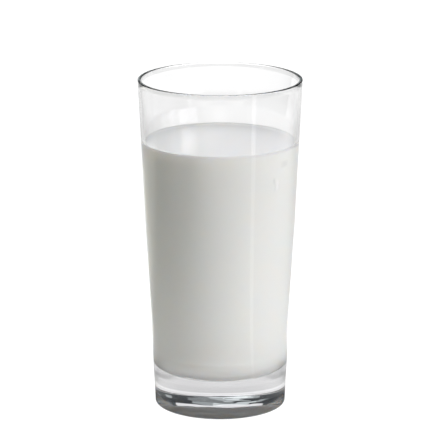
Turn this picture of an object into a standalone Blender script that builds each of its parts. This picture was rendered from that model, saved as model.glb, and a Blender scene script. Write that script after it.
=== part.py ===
"""A glass of milk: a tall tapered tumbler with a heavy base, and the milk that stands in it.

Two turned solids, each a named object: tumbler and milk. Sizes are in metres, with +Z up.
The origin is the centre of the foot, in the plane that the glass stands on.
"""

import math

import bpy

# Driving dimensions of the tumbler
HEIGHT = 0.150
RIM_RADIUS = 0.03675
BASE_RADIUS = 0.02945
RIM_WALL = 0.0015
LOWER_WALL = 0.0018

# The heavy base: how thick it is in the middle, and how the cavity's floor rounds up into the wall
FLOOR_HEIGHT = 0.0154
CORNER_WIDTH = 0.0160
CORNER_HEIGHT = 0.0110

# The underside: a small round heel, a narrow flat ring to stand on, and the punt pushed up inside it
HEEL_RADIUS = 0.0010
RING_WIDTH = 0.0011
PUNT_DEPTH = 0.0034
PUNT_POWER = 3

# The milk: its level, and the lip by which it climbs the glass
MILK_LEVEL = 0.1218
LIP_HEIGHT = 0.0012
LIP_REACH = 0.0015
MILK_GAP = 0.0003

# How finely the shapes are cut
STEPS = 64
RIM_ARC_STEPS = 8
WALL_STEPS = 6
CORNER_STEPS = 10
HEEL_STEPS = 4
PUNT_STEPS = 8
FLOOR_STEPS = 2
LIP_STEPS = 4
MERGE_DISTANCE = 0.00001

COLLECTION_NAME = "glass_of_milk"


def outer_radius(height):
    """The straight taper of the outside, from the foot to the rim."""
    return BASE_RADIUS + (RIM_RADIUS - BASE_RADIUS) * height / HEIGHT


def inner_radius(height):
    """The outside less the wall, which is a little thicker towards the base."""
    share = (height - FLOOR_HEIGHT) / (HEIGHT - FLOOR_HEIGHT)
    return outer_radius(height) - (LOWER_WALL + (RIM_WALL - LOWER_WALL) * share)


def spread(first, last, count):
    """count + 1 values from first to last, evenly spaced."""
    return [first + (last - first) * step / count for step in range(count + 1)]


def ellipse_arc(centre, half_width, half_height, first_deg, last_deg, count):
    """Points along part of an ellipse, at even steps of its angle."""
    points = []
    for degrees in spread(first_deg, last_deg, count):
        angle = math.radians(degrees)
        x = centre[0] + half_width * math.cos(angle)
        z = centre[1] + half_height * math.sin(angle)
        points.append((x, z))
    return points


def cavity_corner(inset):
    """The quarter ellipse where the cavity's floor turns up into the wall, drawn in by inset."""
    top = FLOOR_HEIGHT + CORNER_HEIGHT
    centre = (inner_radius(top) - CORNER_WIDTH, top)
    return ellipse_arc(centre, CORNER_WIDTH - inset, CORNER_HEIGHT - inset, -90, 0, CORNER_STEPS)


def wall_line(radius, low, high, count):
    """Points up a straight wall, without its two ends."""
    return [(radius(height), height) for height in spread(low, high, count)[1:-1]]


def underside():
    """From the outer edge of the flat ring, across it and over the punt to the axis."""
    ring_outer = outer_radius(HEEL_RADIUS) - HEEL_RADIUS
    ring_inner = ring_outer - RING_WIDTH
    points = []
    for share in spread(1, 0, PUNT_STEPS):
        points.append((ring_inner * share, PUNT_DEPTH * (1 - share**PUNT_POWER)))
    return points


def tumbler_profile():
    """The glass's section: cavity floor, inner wall, rim, outer wall, heel, ring and punt."""
    corner = cavity_corner(0)
    points = [(corner[0][0] * share, FLOOR_HEIGHT) for share in spread(0, 1, FLOOR_STEPS)[:-1]]
    points += corner

    rim_radius = RIM_WALL / 2
    rim_height = HEIGHT - rim_radius
    points += wall_line(inner_radius, corner[-1][1], rim_height, WALL_STEPS)
    rim_centre = ((inner_radius(rim_height) + outer_radius(rim_height)) / 2, rim_height)
    rim_half_width = (outer_radius(rim_height) - inner_radius(rim_height)) / 2
    points += ellipse_arc(rim_centre, rim_half_width, rim_radius, 180, 0, RIM_ARC_STEPS)

    points += wall_line(outer_radius, rim_height, HEEL_RADIUS, 2 * WALL_STEPS)
    heel_centre = (outer_radius(HEEL_RADIUS) - HEEL_RADIUS, HEEL_RADIUS)
    points += ellipse_arc(heel_centre, HEEL_RADIUS, HEEL_RADIUS, 0, -90, HEEL_STEPS)
    return points + underside()


def milk_profile():
    """The milk's section: flat top, lip at the glass, side, and the rounded bottom."""
    contact = MILK_LEVEL + LIP_HEIGHT
    edge = inner_radius(contact) - MILK_GAP
    lip_centre = (edge - LIP_REACH, contact)
    points = [(0, MILK_LEVEL)]
    points += ellipse_arc(lip_centre, LIP_REACH, LIP_HEIGHT, -90, 0, LIP_STEPS)

    corner = cavity_corner(MILK_GAP)

    def side(height):
        return inner_radius(height) - MILK_GAP

    points += wall_line(side, contact, corner[-1][1], WALL_STEPS)
    points += reversed(corner)
    points.append((0, corner[0][1]))
    return points


def make_material(name, base_color, roughness, transmission, ior):
    """One Principled BSDF with plain values."""
    material = bpy.data.materials.new(name)
    material.use_nodes = True
    shader = material.node_tree.nodes["Principled BSDF"]
    shader.inputs["Base Color"].default_value = (*base_color, 1)
    shader.inputs["Metallic"].default_value = 0
    shader.inputs["Roughness"].default_value = roughness
    shader.inputs["Transmission Weight"].default_value = transmission
    shader.inputs["IOR"].default_value = ior
    material.diffuse_color = (*base_color, 1)
    return material


def turned_object(name, profile, material, collection):
    """A profile in the XZ plane, turned about Z by a Screw modifier and shaded smooth."""
    mesh = bpy.data.meshes.new(name)
    edges = [(index, index + 1) for index in range(len(profile) - 1)]
    mesh.from_pydata([(x, 0, z) for x, z in profile], edges, [])
    turned = bpy.data.objects.new(name, mesh)
    collection.objects.link(turned)

    screw = turned.modifiers.new("Turn", "SCREW")
    screw.axis = "Z"
    screw.angle = math.tau
    screw.screw_offset = 0
    screw.steps = STEPS
    screw.render_steps = STEPS
    screw.use_merge_vertices = True
    screw.merge_threshold = MERGE_DISTANCE
    screw.use_smooth_shade = True
    turned.data.materials.append(material)
    return turned


def main():
    """Clears the scene, then makes the tumbler and its milk."""
    for old in list(bpy.data.objects):
        bpy.data.objects.remove(old, do_unlink=True)
    collection = bpy.data.collections.new(COLLECTION_NAME)
    bpy.context.scene.collection.children.link(collection)

    glass = make_material("clear_glass", (0.93, 0.97, 0.96), 0.0, 1.0, 1.52)
    milk = make_material("milk", (0.88, 0.87, 0.83), 0.3, 0.0, 1.35)
    turned_object("tumbler", tumbler_profile(), glass, collection)
    turned_object("milk", milk_profile(), milk, collection)


main()
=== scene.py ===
"""The looks of a glass of milk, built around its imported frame.

Two sub-assemblies stand on the frame's own axis: the tumbler as finely turned clear glass, and the
milk that wets its wall. A studio of soft lights, a pale floor and a camera shows them. Lengths are
in metres, +Z is up, and a bearing is an angle about Z that starts at the camera's side and turns
towards +X.
"""

import logging
import math
from dataclasses import dataclass, field
from enum import Enum, auto
from typing import Any

import bpy
import numpy as np
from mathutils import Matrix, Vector


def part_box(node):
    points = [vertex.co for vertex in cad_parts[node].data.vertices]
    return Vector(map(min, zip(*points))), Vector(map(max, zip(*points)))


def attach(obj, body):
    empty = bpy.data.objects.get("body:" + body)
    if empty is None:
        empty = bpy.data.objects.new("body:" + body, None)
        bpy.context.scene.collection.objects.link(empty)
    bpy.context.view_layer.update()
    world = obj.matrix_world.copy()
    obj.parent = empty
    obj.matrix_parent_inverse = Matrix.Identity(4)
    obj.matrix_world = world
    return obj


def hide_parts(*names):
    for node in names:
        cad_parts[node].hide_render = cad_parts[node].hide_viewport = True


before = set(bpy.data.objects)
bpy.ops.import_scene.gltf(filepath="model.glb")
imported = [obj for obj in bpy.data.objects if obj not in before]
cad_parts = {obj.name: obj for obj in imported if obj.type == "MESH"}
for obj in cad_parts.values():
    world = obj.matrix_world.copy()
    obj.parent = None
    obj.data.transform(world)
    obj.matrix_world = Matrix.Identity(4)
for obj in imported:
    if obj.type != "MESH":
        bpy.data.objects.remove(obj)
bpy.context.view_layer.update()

LOG = logging.getLogger("glass_of_milk")
MM = 0.001

# Red, green and blue, or x, y and z.
Triple = tuple[float, float, float]


class Node(Enum):
    """The solids of the frame that this file stands new pieces for."""

    TUMBLER = "tumbler"
    MILK = "milk"


class Slot(Enum):
    """The record's material slots."""

    CLEAR_GLASS = "clear_glass"
    MILK = "milk"


# Shader graphs

# A Mix node has sockets for each kind of data. These are the places of those for colours.
MIX_FIRST_COLOUR, MIX_SECOND_COLOUR = 6, 7
MIX_COLOUR_RESULT = 2

UPWARDS = (0.0, 0.0, 1.0)


class Value:
    """A socket that adds Math nodes when it is used in a Python expression."""

    def __init__(self, graph: "Graph", socket: bpy.types.NodeSocket) -> None:
        """Wraps one output socket of the graph."""
        self.graph = graph
        self.socket = socket

    def _math(self, operation: str, *operands: "Value | float") -> "Value":
        """Adds one Math node.

        Args:
            operation: the node's operation, such as ADD.
            operands: values or numbers, in the node's order.

        Returns:
            The node's result.
        """
        inputs = dict(enumerate(operands))
        return self.graph.node("ShaderNodeMath", {"operation": operation}, inputs).value()

    def __add__(self, other: "Value | float") -> "Value":
        """self + other."""
        return self._math("ADD", self, other)

    def __sub__(self, other: "Value | float") -> "Value":
        """self - other."""
        return self._math("SUBTRACT", self, other)

    def __rsub__(self, other: "Value | float") -> "Value":
        """other - self."""
        return self._math("SUBTRACT", other, self)

    def __mul__(self, other: "Value | float") -> "Value":
        """self times other."""
        return self._math("MULTIPLY", self, other)

    __radd__ = __add__
    __rmul__ = __mul__

    def smooth(self, nought: float, full: float) -> "Value":
        """Goes smoothly from 0 to 1 between two inputs, of which either may be the larger.

        Args:
            nought: the input that gives 0.
            full: the input that gives 1.

        Returns:
            The eased share.
        """
        settings = {"interpolation_type": "SMOOTHSTEP"}
        inputs = {"Value": self, "From Min": nought, "From Max": full}
        return self.graph.node("ShaderNodeMapRange", settings, inputs).value("Result")


class Made:
    """A node that has been added, with its outputs by name."""

    def __init__(self, graph: "Graph", node: bpy.types.Node) -> None:
        """Wraps one node of the graph."""
        self.graph = graph
        self.node = node

    def value(self, name: str | int = 0) -> Value:
        """One output of the node, by its name or its place."""
        return Value(self.graph, self.node.outputs[name])


class Graph:
    """A node tree that starts empty and is filled by one method."""

    def __init__(self, owner: bpy.types.Material | bpy.types.World) -> None:
        """Clears the owner's node tree.

        Args:
            owner: the material or the world that the graph belongs to.
        """
        owner.use_nodes = True
        self.tree = owner.node_tree
        self.tree.nodes.clear()

    def node(
        self,
        kind: str,
        settings: dict[str, Any] | None = None,
        inputs: dict[str | int, Any] | None = None,
    ) -> Made:
        """Adds any node: its settings come first, then its sockets.

        Args:
            kind: the node's type.
            settings: attributes of the node, such as a Math node's operation.
            inputs: what each socket takes, by name or place: a value, or a Value to link.

        Returns:
            The new node.
        """
        made = self.tree.nodes.new(kind)
        for name, setting in (settings or {}).items():
            setattr(made, name, setting)
        for name, given in (inputs or {}).items():
            if isinstance(given, Value):
                self.tree.links.new(given.socket, made.inputs[name])
            else:
                made.inputs[name].default_value = given
        return Made(self, made)

    def place(self) -> Value:
        """The piece's own coordinates, in metres."""
        return self.node("ShaderNodeTexCoord").value("Object")

    def noise(self, scale: float, detail: float, stretch: Triple) -> Value:
        """Soft noise over the piece.

        Args:
            scale: waves to the metre.
            detail: how many finer layers it has.
            stretch: a factor for each axis of the place.

        Returns:
            The noise, from 0 to 1.
        """
        mapped = self.node("ShaderNodeMapping", None, {"Vector": self.place(), "Scale": stretch})
        inputs = {"Vector": mapped.value(), "Scale": scale, "Detail": detail}
        return self.node("ShaderNodeTexNoise", None, inputs).value()

    def _place_against(self, operation: str, other: Triple) -> Value:
        """The number that Vector Math makes of the piece's own place and another vector."""
        inputs = {0: self.place(), 1: other}
        return self.node("ShaderNodeVectorMath", {"operation": operation}, inputs).value("Value")

    def along(self, direction: Triple) -> Value:
        """How far the piece's own place lies along a direction, in metres."""
        return self._place_against("DOT_PRODUCT", direction)

    def distance(self, centre: Triple) -> Value:
        """How far the piece's own place lies from a point, in metres."""
        return self._place_against("DISTANCE", centre)

    def blend(self, share: Value, first: Value | Triple, second: Value | Triple) -> Value:
        """A colour between two.

        Args:
            share: 0 for the first colour and 1 for the second.
            first: red, green and blue, or a colour in the graph.
            second: red, green and blue, or a colour in the graph.

        Returns:
            The mixed colour.
        """
        ends = [end if isinstance(end, Value) else (*end, 1) for end in (first, second)]
        inputs = {"Factor": share, MIX_FIRST_COLOUR: ends[0], MIX_SECOND_COLOUR: ends[1]}
        return self.node("ShaderNodeMix", {"data_type": "RGBA"}, inputs).value(MIX_COLOUR_RESULT)

    def bump(self, height: Value, distance: float) -> Value:
        """A normal that follows a height.

        Args:
            height: the relief, from 0 to 1.
            distance: the relief's depth in metres.

        Returns:
            The normal.
        """
        inputs = {"Height": height, "Strength": 1.0, "Distance": distance}
        return self.node("ShaderNodeBump", None, inputs).value()

    def output(self, surface: Made, volume: Made | None = None, kind: str = "Material") -> None:
        """Ends the graph in its output node.

        Args:
            surface: the node that makes the surface, or the world's background.
            volume: the node that fills the inside, if any.
            kind: Material or World.
        """
        end = self.node(f"ShaderNodeOutput{kind}", None, {"Surface": surface.value()})
        if volume is not None:
            self.tree.links.new(volume.node.outputs[0], end.node.inputs["Volume"])


@dataclass(frozen=True)
class ClearGlass:
    """Polished soda-lime glass with a faint grey body and slow ripples from its mould."""

    index: float = 1.52
    roughness: float = 0.0
    body_colour: Triple = (0.47, 0.46, 0.50)
    body_density: float = 7.5
    ripple_depth: float = 0.004 * MM
    ripple_scale: float = 60.0
    ripple_detail: float = 1.0
    ripple_stretch: Triple = (1.0, 1.0, 0.35)

    def material(self) -> bpy.types.Material:
        """The glass: a clear surface, a ripple in its normal and a body that absorbs.

        Returns:
            The material.
        """
        material = bpy.data.materials.new("clear_glass")
        graph = Graph(material)
        ripple = graph.noise(self.ripple_scale, self.ripple_detail, self.ripple_stretch)
        inputs = {
            "Base Color": (1, 1, 1, 1),
            "Roughness": self.roughness,
            "IOR": self.index,
            "Transmission Weight": 1.0,
            "Normal": graph.bump(ripple, self.ripple_depth),
        }
        surface = graph.node("ShaderNodeBsdfPrincipled", None, inputs)
        body_inputs = {"Color": (*self.body_colour, 1), "Density": self.body_density}
        body = graph.node("ShaderNodeVolumeAbsorption", None, body_inputs)
        graph.output(surface, body)
        return material


@dataclass(frozen=True)
class PaintedDropGlint:
    """Painted light of a water drop on the glass, laid on the milk: lighter for a highlight,
    darker for shade.
    """

    bearing_deg: float
    bottom: float
    top: float
    half_width: float
    colour: Triple
    end_fade: float = 1.0 * MM
    facing_fade: float = 10.0 * MM

    def share(self, graph: Graph) -> Value:
        """The mark's strength.

        It is an eased hump across the mark, times an eased start and end along Z, times an eased
        step that keeps it on its own side of the axis.

        Args:
            graph: the milk's graph.

        Returns:
            The strength, from 0 to 1.
        """
        bearing = math.radians(self.bearing_deg)
        sideways = graph.along((math.cos(bearing), math.sin(bearing), 0))
        outwards = graph.along((math.sin(bearing), -math.cos(bearing), 0))
        upright = graph.along(UPWARDS)
        hump = 1 - (sideways * sideways).smooth(0, self.half_width**2)
        foot = upright.smooth(self.bottom, self.bottom + self.end_fade)
        head = 1 - upright.smooth(self.top - self.end_fade, self.top)
        return hump * (foot * head) * outwards.smooth(0, self.facing_fade)


@dataclass(frozen=True)
class WholeMilk:
    """Opaque milk: a faintly warm white that light sinks into, with a wet surface and painted
    light and shade.
    """

    cream: Triple = (0.885, 0.885, 0.868)
    skim: Triple = (0.87, 0.875, 0.855)
    # Painted light: a cooler colour on the top, for the cool light that falls on it.
    painted_top_light: Triple = (0.885, 0.878, 0.895)
    painted_light_height: float = 121.5 * MM
    painted_light_fade: float = 0.5 * MM
    # Painted highlights and painted shade of water drops on the outside of the glass.
    painted_drop_glints: tuple[PaintedDropGlint, ...] = (
        PaintedDropGlint(48.2, 104.3 * MM, 109.5 * MM, 0.9 * MM, (0.965, 0.965, 0.960)),
        PaintedDropGlint(44.4, 107.0 * MM, 110.5 * MM, 0.9 * MM, (0.800, 0.800, 0.790)),
        PaintedDropGlint(45.6, 103.5 * MM, 108.0 * MM, 0.7 * MM, (0.830, 0.830, 0.820)),
        PaintedDropGlint(55.5, 113.8 * MM, 117.6 * MM, 3.2 * MM, (0.810, 0.810, 0.800)),
    )
    cloud_scale: float = 45.0
    cloud_detail: float = 2.0
    cloud_stretch: Triple = (1.0, 1.0, 0.5)
    index: float = 1.35
    roughness: float = 0.06
    sink_depth: float = 4.5 * MM
    sink_shares: Triple = (1.0, 0.9, 0.8)

    def material(self) -> bpy.types.Material:
        """The milk: two close whites in slow clouds, the painted drop glints and shade, and
        painted cool light on top.

        Returns:
            The material.
        """
        material = bpy.data.materials.new("milk")
        graph = Graph(material)
        cloud = graph.noise(self.cloud_scale, self.cloud_detail, self.cloud_stretch)
        colour = graph.blend(cloud, self.cream, self.skim)
        # Paints the drops' highlights and shade over the milk's colour.
        for drop_glint in self.painted_drop_glints:
            colour = graph.blend(drop_glint.share(graph), colour, drop_glint.colour)
        # Paints the cool light on the top.
        top = graph.along(UPWARDS).smooth(self.painted_light_height - self.painted_light_fade, self.painted_light_height)
        inputs = {
            "Base Color": graph.blend(top, colour, self.painted_top_light),
            "Roughness": self.roughness,
            "IOR": self.index,
            "Subsurface Weight": 1.0,
            "Subsurface Radius": self.sink_shares,
            "Subsurface Scale": self.sink_depth,
        }
        graph.output(graph.node("ShaderNodeBsdfPrincipled", None, inputs))
        return material


# Turned surfaces


def ellipse_arc(
    centre: tuple[float, float],
    half_width: float,
    half_height: float,
    first_deg: float,
    last_deg: float,
    count: int,
) -> np.ndarray:
    """Points of an ellipse's arc: centre + (width cos a, height sin a) for even steps of a.

    Args:
        centre: the ellipse's centre, as radius and height.
        half_width: its half axis along the radius.
        half_height: its half axis along Z.
        first_deg: the angle that it starts from.
        last_deg: the angle that it ends at.
        count: how many points.

    Returns:
        An array of (radius, height) rows.
    """
    angle = np.radians(np.linspace(first_deg, last_deg, count))
    radius = centre[0] + half_width * np.cos(angle)
    height = centre[1] + half_height * np.sin(angle)
    return np.stack([radius, height], axis=1)


def turned_mesh(name: str, radius: np.ndarray, height: np.ndarray) -> bpy.types.Mesh:
    """A closed surface from a grid of rings. Its first and last rings are points on the axis.

    Point (ring, step) stands at (radius cos a, radius sin a, height), where a is the step's share
    of a turn. Each four neighbours make a face, and a fan closes each end.

    Args:
        name: the mesh's name.
        radius: distances from the axis, one row for each ring and one column for each step.
        height: heights, in the same grid.

    Returns:
        The mesh, shaded smooth. Its faces point out where the section runs down its outer side.
    """
    rings, steps = radius.shape
    angle = np.linspace(0, math.tau, steps, endpoint=False)
    grid = np.stack([radius * np.cos(angle), radius * np.sin(angle), height], axis=2)
    inner = grid[1:-1].reshape(-1, 3)
    top_pole, end_pole = grid[0].mean(axis=0), grid[-1].mean(axis=0)
    vertices = np.vstack([inner, top_pole, end_pole])

    step = np.arange(steps)
    following = (step + 1) % steps
    ring = np.arange(rings - 3)[:, None] * steps
    corners = [ring + step, ring + steps + step, ring + steps + following, ring + following]
    quads = np.stack(corners, axis=2).reshape(-1, 4)
    last = (rings - 3) * steps
    top_fan = np.stack([np.full(steps, len(inner)), step, following], axis=1)
    end_fan = np.stack([np.full(steps, len(inner) + 1), last + following, last + step], axis=1)

    mesh = bpy.data.meshes.new(name)
    faces = quads.tolist() + top_fan.tolist() + end_fan.tolist()
    mesh.from_pydata(vertices.tolist(), [], faces)
    mesh.update()
    mesh.shade_smooth()
    return mesh


def placed(mesh: bpy.types.Mesh, material: bpy.types.Material) -> bpy.types.Object:
    """A piece of the object: it sits at the origin, rides on the one body and takes its material.

    Args:
        mesh: the piece's mesh, which holds its place.
        material: its finish.

    Returns:
        The piece.
    """
    piece = bpy.data.objects.new(mesh.name, mesh)
    bpy.context.scene.collection.objects.link(piece)
    mesh.materials.append(material)
    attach(piece, "root")
    return piece


@dataclass
class Tumbler:
    """The glass: a taper with a round rim, a heavy base, a small heel, a foot ring and a punt."""

    height: float = field(default_factory=lambda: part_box(Node.TUMBLER.value)[1].z)
    rim_radius: float = 36.75 * MM
    base_radius: float = 29.45 * MM
    rim_wall: float = 1.5 * MM
    lower_wall: float = 1.8 * MM
    lip_share: float = 0.3
    floor_height: float = 15.4 * MM
    corner_width: float = 16.0 * MM
    corner_height: float = 11.0 * MM
    heel_radius: float = 1.0 * MM
    ring_width: float = 1.1 * MM
    punt_depth: float = 3.4 * MM
    punt_power: float = 3.0
    wave_height: float = 0.02 * MM
    wave_along_x: float = 2.1 * MM
    wave_along_y: float = 1.4 * MM
    wave_slanted: float = 2.4 * MM
    wave_start: float = 0.8
    slanted_share: float = 0.5
    wave_fade_power: int = 4
    floor_points: int = 16
    corner_points: int = 28
    inner_points: int = 40
    rim_points: int = 24
    outer_points: int = 60
    heel_points: int = 12
    punt_points: int = 40
    steps: int = 240
    finish: ClearGlass = ClearGlass()

    def outer_radius(self, height: np.ndarray | float) -> np.ndarray | float:
        """The straight taper of the outside: a line in height from the foot to the rim."""
        return self.base_radius + (self.rim_radius - self.base_radius) * height / self.height

    def inner_radius(self, height: np.ndarray | float) -> np.ndarray | float:
        """The outside less a wall that grows along a line from the rim to the cavity's floor."""
        share = (height - self.floor_height) / (self.height - self.floor_height)
        growth = (self.rim_wall - self.lower_wall) * share
        return self.outer_radius(height) - self.lower_wall - growth

    def cavity_corner(self, outset: float, count: int) -> np.ndarray:
        """The quarter ellipse where the floor turns up into the wall.

        Args:
            outset: how far the curve lies outside the cavity, in the glass.
            count: how many points.

        Returns:
            An array of (radius, height) rows, from the floor up.
        """
        top = self.floor_height + self.corner_height
        centre = (self.inner_radius(top) - self.corner_width, top)
        width = self.corner_width + outset
        return ellipse_arc(centre, width, self.corner_height + outset, -90, 0, count)

    def section(self) -> np.ndarray:
        """The whole section: floor, corner, inner wall, rim, outer wall, heel, ring and punt.

        The walls are the two tapers, the rim is half an ellipse, the heel a quarter circle, and
        the punt rises from the ring by depth * (1 - share^power), with share the part of the
        ring's radius.

        Returns:
            An array of (radius, height) rows, from the floor's centre round to the punt's centre.
        """
        corner = self.cavity_corner(0.0, self.corner_points)
        floor_radius = np.linspace(0, corner[0, 0], self.floor_points)[:-1]
        floor = np.stack([floor_radius, np.full(len(floor_radius), self.floor_height)], axis=1)

        lip = self.rim_wall * self.lip_share
        lip_height = self.height - lip
        inner_height = np.linspace(corner[-1, 1], lip_height, self.inner_points)[1:-1]
        inner_wall = np.stack([self.inner_radius(inner_height), inner_height], axis=1)
        lip_inner, lip_outer = self.inner_radius(lip_height), self.outer_radius(lip_height)
        lip_centre = ((lip_inner + lip_outer) / 2, lip_height)
        rim = ellipse_arc(lip_centre, (lip_outer - lip_inner) / 2, lip, 180, 0, self.rim_points)

        outer_height = np.linspace(lip_height, self.heel_radius, self.outer_points)[1:-1]
        outer_wall = np.stack([self.outer_radius(outer_height), outer_height], axis=1)
        bend = self.heel_radius
        ring_outer = self.outer_radius(bend) - bend
        heel = ellipse_arc((ring_outer, bend), bend, bend, 0, -90, self.heel_points)
        ring_inner = ring_outer - self.ring_width
        share = np.linspace(1, 0, self.punt_points)
        punt_height = self.punt_depth * (1 - share**self.punt_power)
        punt = np.stack([ring_inner * share, punt_height], axis=1)
        return np.vstack([floor, corner, inner_wall, rim, outer_wall, heel, punt])

    def punt_waves(self, radius: np.ndarray) -> np.ndarray:
        """The pressed punt's slight waves, which fade out at the foot ring.

        The height is wave height * (1 - (radius / ring)^4) times the sum of two wave trains:
        sin(x / along x + start) * cos(y / along y) and a share of sin((x + 2 y) / slanted).

        Args:
            radius: distances from the axis, one row for each ring and one column for each step.

        Returns:
            The change of height, in the same grid.
        """
        angle = np.linspace(0, math.tau, self.steps, endpoint=False)
        x, y = radius * np.cos(angle), radius * np.sin(angle)
        crossed = np.sin(x / self.wave_along_x + self.wave_start) * np.cos(y / self.wave_along_y)
        slanted = self.slanted_share * np.sin((x + 2 * y) / self.wave_slanted)
        fade = 1 - (radius / radius.max()) ** self.wave_fade_power
        return self.wave_height * fade * (crossed + slanted)

    def build(self) -> bpy.types.Object:
        """Makes the glass and lets it stand for the frame's tumbler.

        Returns:
            The piece.
        """
        section = self.section()
        ones = np.ones((1, self.steps))
        radius, height = section[:, :1] * ones, section[:, 1:] * ones
        height[-self.punt_points :] += self.punt_waves(radius[-self.punt_points :])
        mesh = turned_mesh("clear_tumbler", radius, height)
        piece = placed(mesh, self.finish.material())
        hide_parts(Node.TUMBLER.value)
        return piece


@dataclass
class Milk:
    """The milk: it fills the tumbler, climbs the wall in a thin lip and wets the glass."""

    tumbler: Tumbler
    level: float = 121.8 * MM
    lip_height: float = 0.55 * MM
    lip_fade: float = 1.2 * MM
    lip_zone: float = 9.0 * MM
    wall_gap: float = 0.03 * MM
    overlap: float = 0.12 * MM
    flat_points: int = 10
    lip_points: int = 30
    side_points: int = 50
    corner_points: int = 24
    bottom_points: int = 12
    steps: int = 240
    finish: WholeMilk = WholeMilk()

    def section(self) -> np.ndarray:
        """The milk's section: top, lip, side and rounded bottom.

        The top is level + lip height times exp(-distance from the wall / fade), so it is flat in
        the middle and turns up at the glass. The side lies the overlap inside the wall.

        Returns:
            An array of (radius, height) rows, from the top's centre round to the bottom's centre.
        """
        contact = self.level + self.lip_height
        edge = self.tumbler.inner_radius(contact)
        flat = np.linspace(edge, self.lip_zone, self.flat_points)[:-1]
        lip = np.geomspace(self.lip_zone, self.wall_gap, self.lip_points)
        from_wall = np.concatenate([flat, lip])
        top_height = self.level + self.lip_height * np.exp(-from_wall / self.lip_fade)
        top = np.stack([edge - from_wall, top_height], axis=1)

        corner = self.tumbler.cavity_corner(self.overlap, self.corner_points)
        side_height = np.linspace(contact, corner[-1, 1], self.side_points)[:-1]
        side_radius = self.tumbler.inner_radius(side_height) + self.overlap
        side = np.stack([side_radius, side_height], axis=1)
        bottom_radius = np.linspace(corner[0, 0], 0, self.bottom_points)[1:]
        bottom = np.stack([bottom_radius, np.full(len(bottom_radius), corner[0, 1])], axis=1)
        return np.vstack([top, side, corner[::-1], bottom])

    def build(self) -> bpy.types.Object:
        """Makes the milk and lets it stand for the frame's milk.

        Returns:
            The piece.
        """
        section = self.section()
        ones = np.ones((1, self.steps))
        mesh = turned_mesh("milk_fill", section[:, :1] * ones, section[:, 1:] * ones)
        piece = placed(mesh, self.finish.material())
        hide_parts(Node.MILK.value)
        return piece


# The studio's lights


def from_bearing(bearing_deg: float, elevation_deg: float, distance: float) -> Vector:
    """A place round the object: distance times the direction of a bearing and an elevation.

    Args:
        bearing_deg: the bearing, in degrees.
        elevation_deg: the angle above the level, in degrees.
        distance: how far off it lies.

    Returns:
        The place, from the object.
    """
    bearing, elevation = math.radians(bearing_deg), math.radians(elevation_deg)
    level = distance * math.cos(elevation)
    height = distance * math.sin(elevation)
    return Vector((level * math.sin(bearing), -level * math.cos(bearing), height))


class Outline(Enum):
    """The outline of a soft light."""

    SQUARE_CORNERS = "RECTANGLE"
    ROUND = "ELLIPSE"


NEUTRAL = (1.0, 1.0, 1.0)
KEY_TINT = (0.99, 0.99, 1.01)
BACK_TINT = (0.93, 1.0, 1.0)
TOP_TINT = (0.985, 0.98, 1.03)


@dataclass(frozen=True)
class Softbox:
    """A soft light that faces the glass, given by what it would show in a mirror."""

    name: str
    bearing_deg: float
    elevation_deg: float
    distance: float
    width: float
    height: float
    radiance: float
    colour: Triple = NEUTRAL
    outline: Outline = Outline.ROUND

    def build(self, aim: Vector) -> None:
        """Hangs the light.

        Its power is radiance times pi times its area, and an ellipse fills pi / 4 of its box.

        Args:
            aim: the point that it faces.
        """
        lamp = bpy.data.lights.new(self.name, "AREA")
        lamp.shape = self.outline.value
        lamp.size, lamp.size_y = self.width, self.height
        filled = math.pi / 4 if self.outline is Outline.ROUND else 1.0
        lamp.energy = self.radiance * math.pi * self.width * self.height * filled
        lamp.color = self.colour
        light = bpy.data.objects.new(self.name, lamp)
        bpy.context.scene.collection.objects.link(light)
        light.location = aim + from_bearing(self.bearing_deg, self.elevation_deg, self.distance)
        light.rotation_euler = (aim - light.location).to_track_quat("-Z", "Y").to_euler()
        light.visible_camera = False


# The studio's floor


class Way(Enum):
    """The ways in which a place of the floor is measured. All but the last are in metres."""

    FROM_FOOT = auto()
    FROM_SHADE = auto()
    TO_KEY = auto()
    TO_FRONT = auto()
    TO_LEFT = auto()
    INSIDE_STREAK_LEFT = auto()
    INSIDE_STREAK_RIGHT = auto()
    SIDE_SQUARED = auto()


# Where a place of the floor lies, in every way.
Measures = dict[Way, Value]


@dataclass(frozen=True)
class Edge:
    """An eased edge of a zone: none of it at one measure and all of it at the other."""

    way: Way
    nought: float
    full: float

    def step(self, measures: Measures) -> Value:
        """The eased step from 0 to 1 across the edge."""
        return measures[self.way].smooth(self.nought, self.full)


@dataclass(frozen=True)
class Zone:
    """A part of the floor, and how much more or less it glows than the rest."""

    name: str
    glow: float
    edges: tuple[Edge, ...]

    def painted(self, measures: Measures) -> Value:
        """The zone's glow at a place: its strength times the steps of all its edges.

        Args:
            measures: where the place lies, in every way.

        Returns:
            The glow, from a node that is labelled with the zone's name.
        """
        glow = math.prod([edge.step(measures) for edge in self.edges], start=self.glow)
        glow.socket.node.label = self.name
        return glow


# Edges that several zones share.
IN_RING = (
    Edge(Way.FROM_SHADE, 44 * MM, 56 * MM),
    Edge(Way.FROM_SHADE, 94 * MM, 70 * MM),
    Edge(Way.TO_FRONT, -30 * MM, 20 * MM),
)
BEHIND = Edge(Way.TO_FRONT, -5 * MM, -25 * MM)
BEHIND_HEEL = (Edge(Way.TO_FRONT, -22 * MM, -31 * MM), Edge(Way.FROM_FOOT, 37 * MM, 34 * MM))
OFF_THE_MIDDLE = Edge(Way.SIDE_SQUARED, (7 * MM) ** 2, (16 * MM) ** 2)


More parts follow.
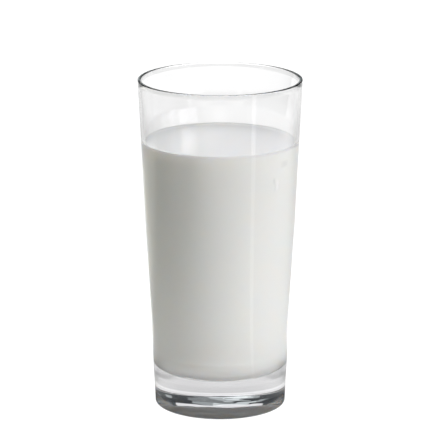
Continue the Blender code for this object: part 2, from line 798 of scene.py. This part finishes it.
@dataclass(frozen=True)
class PaleFloor:
    """A pale table top, plain white to the camera itself.

    To all other light it glows in zones of painted light and painted shadow round the foot,
    because clear glass shows all that lies round it. Each open zone adds its glow to the near
    glow, or takes some away where it is below nought.
    """

    near_glow: float = 0.75
    brightest: float = 4.2
    seen_white: float = 1.1
    body_colour: Triple = (0.02, 0.02, 0.02)
    roughness: float = 0.9
    warm_tint: Triple = (1.0, 1.0, 0.92)
    shade_shift: float = 10.0 * MM
    key_direction: Triple = (0.7, -0.7, 0.0)
    streak_bearing_deg: float = 48.0
    streak_half_angle_deg: float = 3.4

    # Painted pools of light and painted shade over the open floor.
    open_zones: tuple[Zone, ...] = (
        Zone("far", 0.135, (Edge(Way.FROM_FOOT, 0.50, 0.60),)),
        Zone("horizon", 0.195, (Edge(Way.FROM_FOOT, 0.64, 0.68),)),
        Zone("key_side", 1.22, (Edge(Way.TO_KEY, -0.05, 0.25), Edge(Way.FROM_FOOT, 0.58, 0.46))),
        Zone("left", -0.05, (Edge(Way.TO_LEFT, 0.14, 0.3), Edge(Way.TO_FRONT, -0.2, -0.05))),
        Zone(
            "straight_back",
            1.2,
            (
                Edge(Way.TO_FRONT, -0.06, -0.12),
                Edge(Way.SIDE_SQUARED, 0.10**2, 0.05**2),
                Edge(Way.FROM_FOOT, 0.32, 0.24),
            ),
        ),
        Zone(
            "far_left",
            -0.15,
            (
                Edge(Way.TO_LEFT, 0.25, 0.35),
                Edge(Way.TO_FRONT, -0.1, -0.2),
                Edge(Way.FROM_FOOT, 0.42, 0.48),
            ),
        ),
        Zone(
            "left_back",
            0.4,
            (
                Edge(Way.TO_LEFT, 0.07, 0.14),
                Edge(Way.TO_FRONT, -0.08, -0.17),
                Edge(Way.FROM_FOOT, 0.5, 0.42),
            ),
        ),
        Zone("front", -0.15, (Edge(Way.TO_FRONT, 0.15, 0.28),)),
        Zone(
            "side_dips",
            -0.35,
            (
                Edge(Way.FROM_FOOT, 46 * MM, 52 * MM),
                Edge(Way.FROM_FOOT, 95 * MM, 66 * MM),
                OFF_THE_MIDDLE,
                BEHIND,
            ),
        ),
        Zone(
            "lens_dip",
            -0.08,
            (
                Edge(Way.FROM_FOOT, 36 * MM, 39 * MM),
                Edge(Way.FROM_FOOT, 49 * MM, 43 * MM),
                BEHIND,
            ),
        ),
    )
    # Painted light close to the foot: a bright ring in front, light behind the heel and a streak.
    close_zones: tuple[Zone, ...] = (
        Zone("ring", 1.65, IN_RING),
        Zone("ring_key_side", 0.48, (*IN_RING, Edge(Way.TO_KEY, -20 * MM, 60 * MM))),
        Zone("heel", 0.55, BEHIND_HEEL),
        Zone("heel_sides", -0.275, (*BEHIND_HEEL, OFF_THE_MIDDLE)),
        Zone(
            "streak",
            0.9,
            (
                Edge(Way.INSIDE_STREAK_LEFT, 0, 4 * MM),
                Edge(Way.INSIDE_STREAK_RIGHT, 0, 4 * MM),
                Edge(Way.FROM_FOOT, 60 * MM, 90 * MM),
            ),
        ),
    )
    # Painted shade: the soft shadow round the foot and the dark footprint under the glass, with
    # painted light under the front of its sole.
    unshaded: Zone = Zone("unshaded", 1.0, (Edge(Way.FROM_SHADE, 37 * MM, 49 * MM),))
    uncovered: Zone = Zone("uncovered", 1.0, (Edge(Way.FROM_FOOT, 28.5 * MM, 29.5 * MM),))
    sole: Zone = Zone(
        "sole",
        0.5,
        (
            Edge(Way.FROM_FOOT, 21 * MM, 23 * MM),
            Edge(Way.TO_FRONT, 8 * MM, 18 * MM),
            Edge(Way.FROM_FOOT, 29.5 * MM, 28.5 * MM),
        ),
    )
    # A warmer glow to the left, which tints the light on the milk's shaded side.
    warm_left: Zone = Zone(
        "warm_left", 1.0, (Edge(Way.TO_LEFT, 0, 0.2), Edge(Way.FROM_FOOT, 0.50, 0.40))
    )

    def measures(self, graph: Graph) -> Measures:
        """Measures the floor's places in every way.

        The streak is a wedge that points away from the glass. With a the distance along its
        bearing times the tangent of its half angle, and s the distance sideways, a place lies
        a - s inside its one edge and a + s inside the other. The shade's centre lies in front of
        the glass.

        Args:
            graph: the floor's graph.

        Returns:
            A value for each way.
        """
        bearing = math.radians(self.streak_bearing_deg)
        slope = math.tan(math.radians(self.streak_half_angle_deg))
        ahead = graph.along((math.sin(bearing), -math.cos(bearing), 0)) * slope
        aside = graph.along((math.cos(bearing), math.sin(bearing), 0))
        across = graph.along((1, 0, 0))
        return {
            Way.FROM_FOOT: graph.distance((0, 0, 0)),
            Way.FROM_SHADE: graph.distance((0, -self.shade_shift, 0)),
            Way.TO_KEY: graph.along(self.key_direction),
            Way.TO_FRONT: graph.along((0, -1, 0)),
            Way.TO_LEFT: 0 - across,
            Way.INSIDE_STREAK_LEFT: ahead - aside,
            Way.INSIDE_STREAK_RIGHT: ahead + aside,
            Way.SIDE_SQUARED: across * across,
        }

    def glow(self, graph: Graph) -> Value:
        """The colour of the floor's glow, as a share of the brightest.

        The open floor is the near glow plus its zones, times the soft shade round the foot. The
        close zones come on top of it, all of it lies outside the foot, and the sole lies under it.

        Args:
            graph: the floor's graph.

        Returns:
            The colour.
        """
        measures = self.measures(graph)
        open_floor = self.near_glow + sum(zone.painted(measures) for zone in self.open_zones)
        close = sum(zone.painted(measures) for zone in self.close_zones)
        around = open_floor * self.unshaded.painted(measures) + close
        glow = self.uncovered.painted(measures) * around + self.sole.painted(measures)
        tint = graph.blend(self.warm_left.painted(measures), NEUTRAL, self.warm_tint)
        return graph.blend(glow * (1 / self.brightest), (0, 0, 0), tint)

    def material(self) -> bpy.types.Material:
        """The floor: white where the camera sees it, and the painted glow to all other light.

        Returns:
            The material.
        """
        material = bpy.data.materials.new("studio_floor")
        graph = Graph(material)
        inputs = {
            "Base Color": (*self.body_colour, 1),
            "Roughness": self.roughness,
            "Specular IOR Level": 0.0,
            "Emission Color": self.glow(graph),
            "Emission Strength": self.brightest,
        }
        shaded = graph.node("ShaderNodeBsdfPrincipled", None, inputs)
        white_inputs = {"Color": (1, 1, 1, 1), "Strength": self.seen_white}
        white = graph.node("ShaderNodeEmission", None, white_inputs)
        seen = graph.node("ShaderNodeLightPath").value("Is Camera Ray")
        mix_inputs = {0: seen, 1: shaded.value(), 2: white.value()}
        graph.output(graph.node("ShaderNodeMixShader", None, mix_inputs))
        return material


# The studio


@dataclass(frozen=True)
class LongLens:
    """The camera, at the photo's angle: a long lens that looks slightly down at the glass.

    Lengths that end in px are in the photo's pixels, of which its side has photo_side.
    """

    back: float = 1.274
    up: float = 0.4175
    pitch_deg: float = 14.7
    photo_side: int = 447
    focal_px: float = 2923.56
    axis_px: float = 219.63
    sensor_mm: float = 36.0

    def build(self) -> None:
        """Sets up the camera.

        The lens is the focal length's share of the photo's side, times the sensor's width. The
        shift is the share of the side by which the glass's axis lies left of the middle.
        """
        data = bpy.data.cameras.new("photo_camera")
        data.sensor_width = self.sensor_mm
        data.lens = self.focal_px * self.sensor_mm / self.photo_side
        data.shift_x = ((self.photo_side - 1) / 2 - self.axis_px) / self.photo_side
        camera = bpy.data.objects.new("photo_camera", data)
        bpy.context.scene.collection.objects.link(camera)
        camera.location = (0, -self.back, self.up)
        camera.rotation_euler = (math.radians(90 - self.pitch_deg), 0, 0)
        bpy.context.scene.camera = camera


@dataclass
class Studio:
    """A pale floor, soft lights, a dim surround and the camera."""

    aim: Vector = field(default_factory=lambda: Vector((0, 0, 0.075)))
    table_left: float = 0.6
    table_right: float = 1.0
    table_front: float = 1.0
    table_back: float = 2.0
    table_drop: float = 0.05 * MM
    table_painted_glow: PaleFloor = PaleFloor()
    surround: Triple = (0.06, 0.067, 0.073)
    room: Triple = (0.05, 0.053, 0.022)
    lens: LongLens = LongLens()
    softboxes: tuple[Softbox, ...] = (
        Softbox("key_50_low", 50, 8, 1.4, 0.75, 0.39, 4.0, KEY_TINT),
        Softbox("key_70_low", 70, 8, 1.4, 0.75, 0.39, 2.8, KEY_TINT),
        Softbox("key_90_low", 90, 8, 1.4, 0.75, 0.39, 2.5, KEY_TINT),
        Softbox("key_50_middle", 50, 20, 1.4, 0.70, 0.39, 2.6, KEY_TINT),
        Softbox("key_70_middle", 70, 20, 1.4, 0.70, 0.39, 1.9, KEY_TINT),
        Softbox("key_70_high", 70, 35, 1.4, 0.62, 0.39, 3.2, KEY_TINT),
        Softbox("key_90_high", 90, 35, 1.4, 0.62, 0.39, 1.3, KEY_TINT),
        Softbox("front_low", 0, 8, 1.4, 0.49, 0.29, 1.15, KEY_TINT),
        Softbox("back_panel", 179, 44, 1.5, 1.7, 1.02, 1.0),
        Softbox(
            "back_glow_upper", 190, 22.8, 1.5, 0.70, 0.20, 0.35, BACK_TINT, Outline.SQUARE_CORNERS
        ),
        Softbox("back_glow_wide", 190, 22.8, 1.52, 1.50, 0.22, 0.40, BACK_TINT),
        Softbox("back_glow_right", 194, 8.5, 1.5, 0.62, 0.38, 0.36, BACK_TINT),
        Softbox("back_glow_core", 185, 8, 1.52, 0.60, 0.40, 0.30, BACK_TINT),
        Softbox("back_glow_low", 186, 5.5, 1.5, 0.85, 0.20, 0.55, BACK_TINT),
        Softbox("back_glow_left", 140, 13, 1.5, 0.26, 0.26, 0.50, BACK_TINT),
        Softbox("back_haze", 176, 13, 1.55, 0.9, 0.40, 0.22, BACK_TINT),
        Softbox("high_60", 60, 66, 1.4, 0.98, 0.65, 1.15),
        Softbox("high_120", 120, 66, 1.4, 0.98, 0.65, 0.8),
        Softbox("high_240", 240, 66, 1.4, 0.98, 0.65, 2.0),
        Softbox("glint_wide", 182.1, 14.8, 1.55, 0.030, 0.024, 0.45),
        Softbox("glint_core", 182.1, 14.8, 1.53, 0.018, 0.016, 0.45),
        Softbox("high_180", 180, 60, 1.4, 1.10, 0.60, 1.6, TOP_TINT),
        Softbox("overhead", 0, 88, 1.4, 0.51, 1.02, 3.7, TOP_TINT),
    )

    def floor(self) -> None:
        """Lays the table top just under the foot, so that the two never share a plane."""
        left, right = -self.table_left, self.table_right
        front, back = -self.table_front, self.table_back
        mesh = bpy.data.meshes.new("studio_floor")
        corners = [(left, front, 0), (right, front, 0), (right, back, 0), (left, back, 0)]
        mesh.from_pydata(corners, [], [(0, 1, 2, 3)])
        mesh.materials.append(self.table_painted_glow.material())
        floor = bpy.data.objects.new("studio_floor", mesh)
        bpy.context.scene.collection.objects.link(floor)
        floor.location.z = -self.table_drop

    def world(self) -> None:
        """The surround: white where it is seen, also through clear glass.

        To a ray that a mirror has turned it has the surround's colour, and to soft light the
        room's, which are both dim.
        """
        world = bpy.data.worlds.new("surround")
        bpy.context.scene.world = world
        graph = Graph(world)
        path = graph.node("ShaderNodeLightPath")
        mirrored = path.value("Glossy Depth").smooth(0, 1)
        seen = graph.blend(mirrored, NEUTRAL, self.surround)
        lighting = path.value("Diffuse Depth").smooth(0, 1)
        colour = graph.blend(lighting, seen, self.room)
        inputs = {"Color": colour, "Strength": 1.0}
        graph.output(graph.node("ShaderNodeBackground", None, inputs), None, "World")

    def build(self) -> None:
        """Sets up the whole studio."""
        self.floor()
        self.world()
        for softbox in self.softboxes:
            softbox.build(self.aim)
        self.lens.build()
        bpy.context.scene.view_settings.view_transform = "Standard"


def main() -> None:
    """Builds the pieces in order, then the studio."""
    tumbler = Tumbler()
    for sub_assembly in (tumbler, Milk(tumbler)):
        LOG.info("made %s", sub_assembly.build().name)
    Studio().build()
    LOG.info("set up the studio")


if __name__ == "__main__":
    logging.basicConfig(level=logging.INFO)
    main()
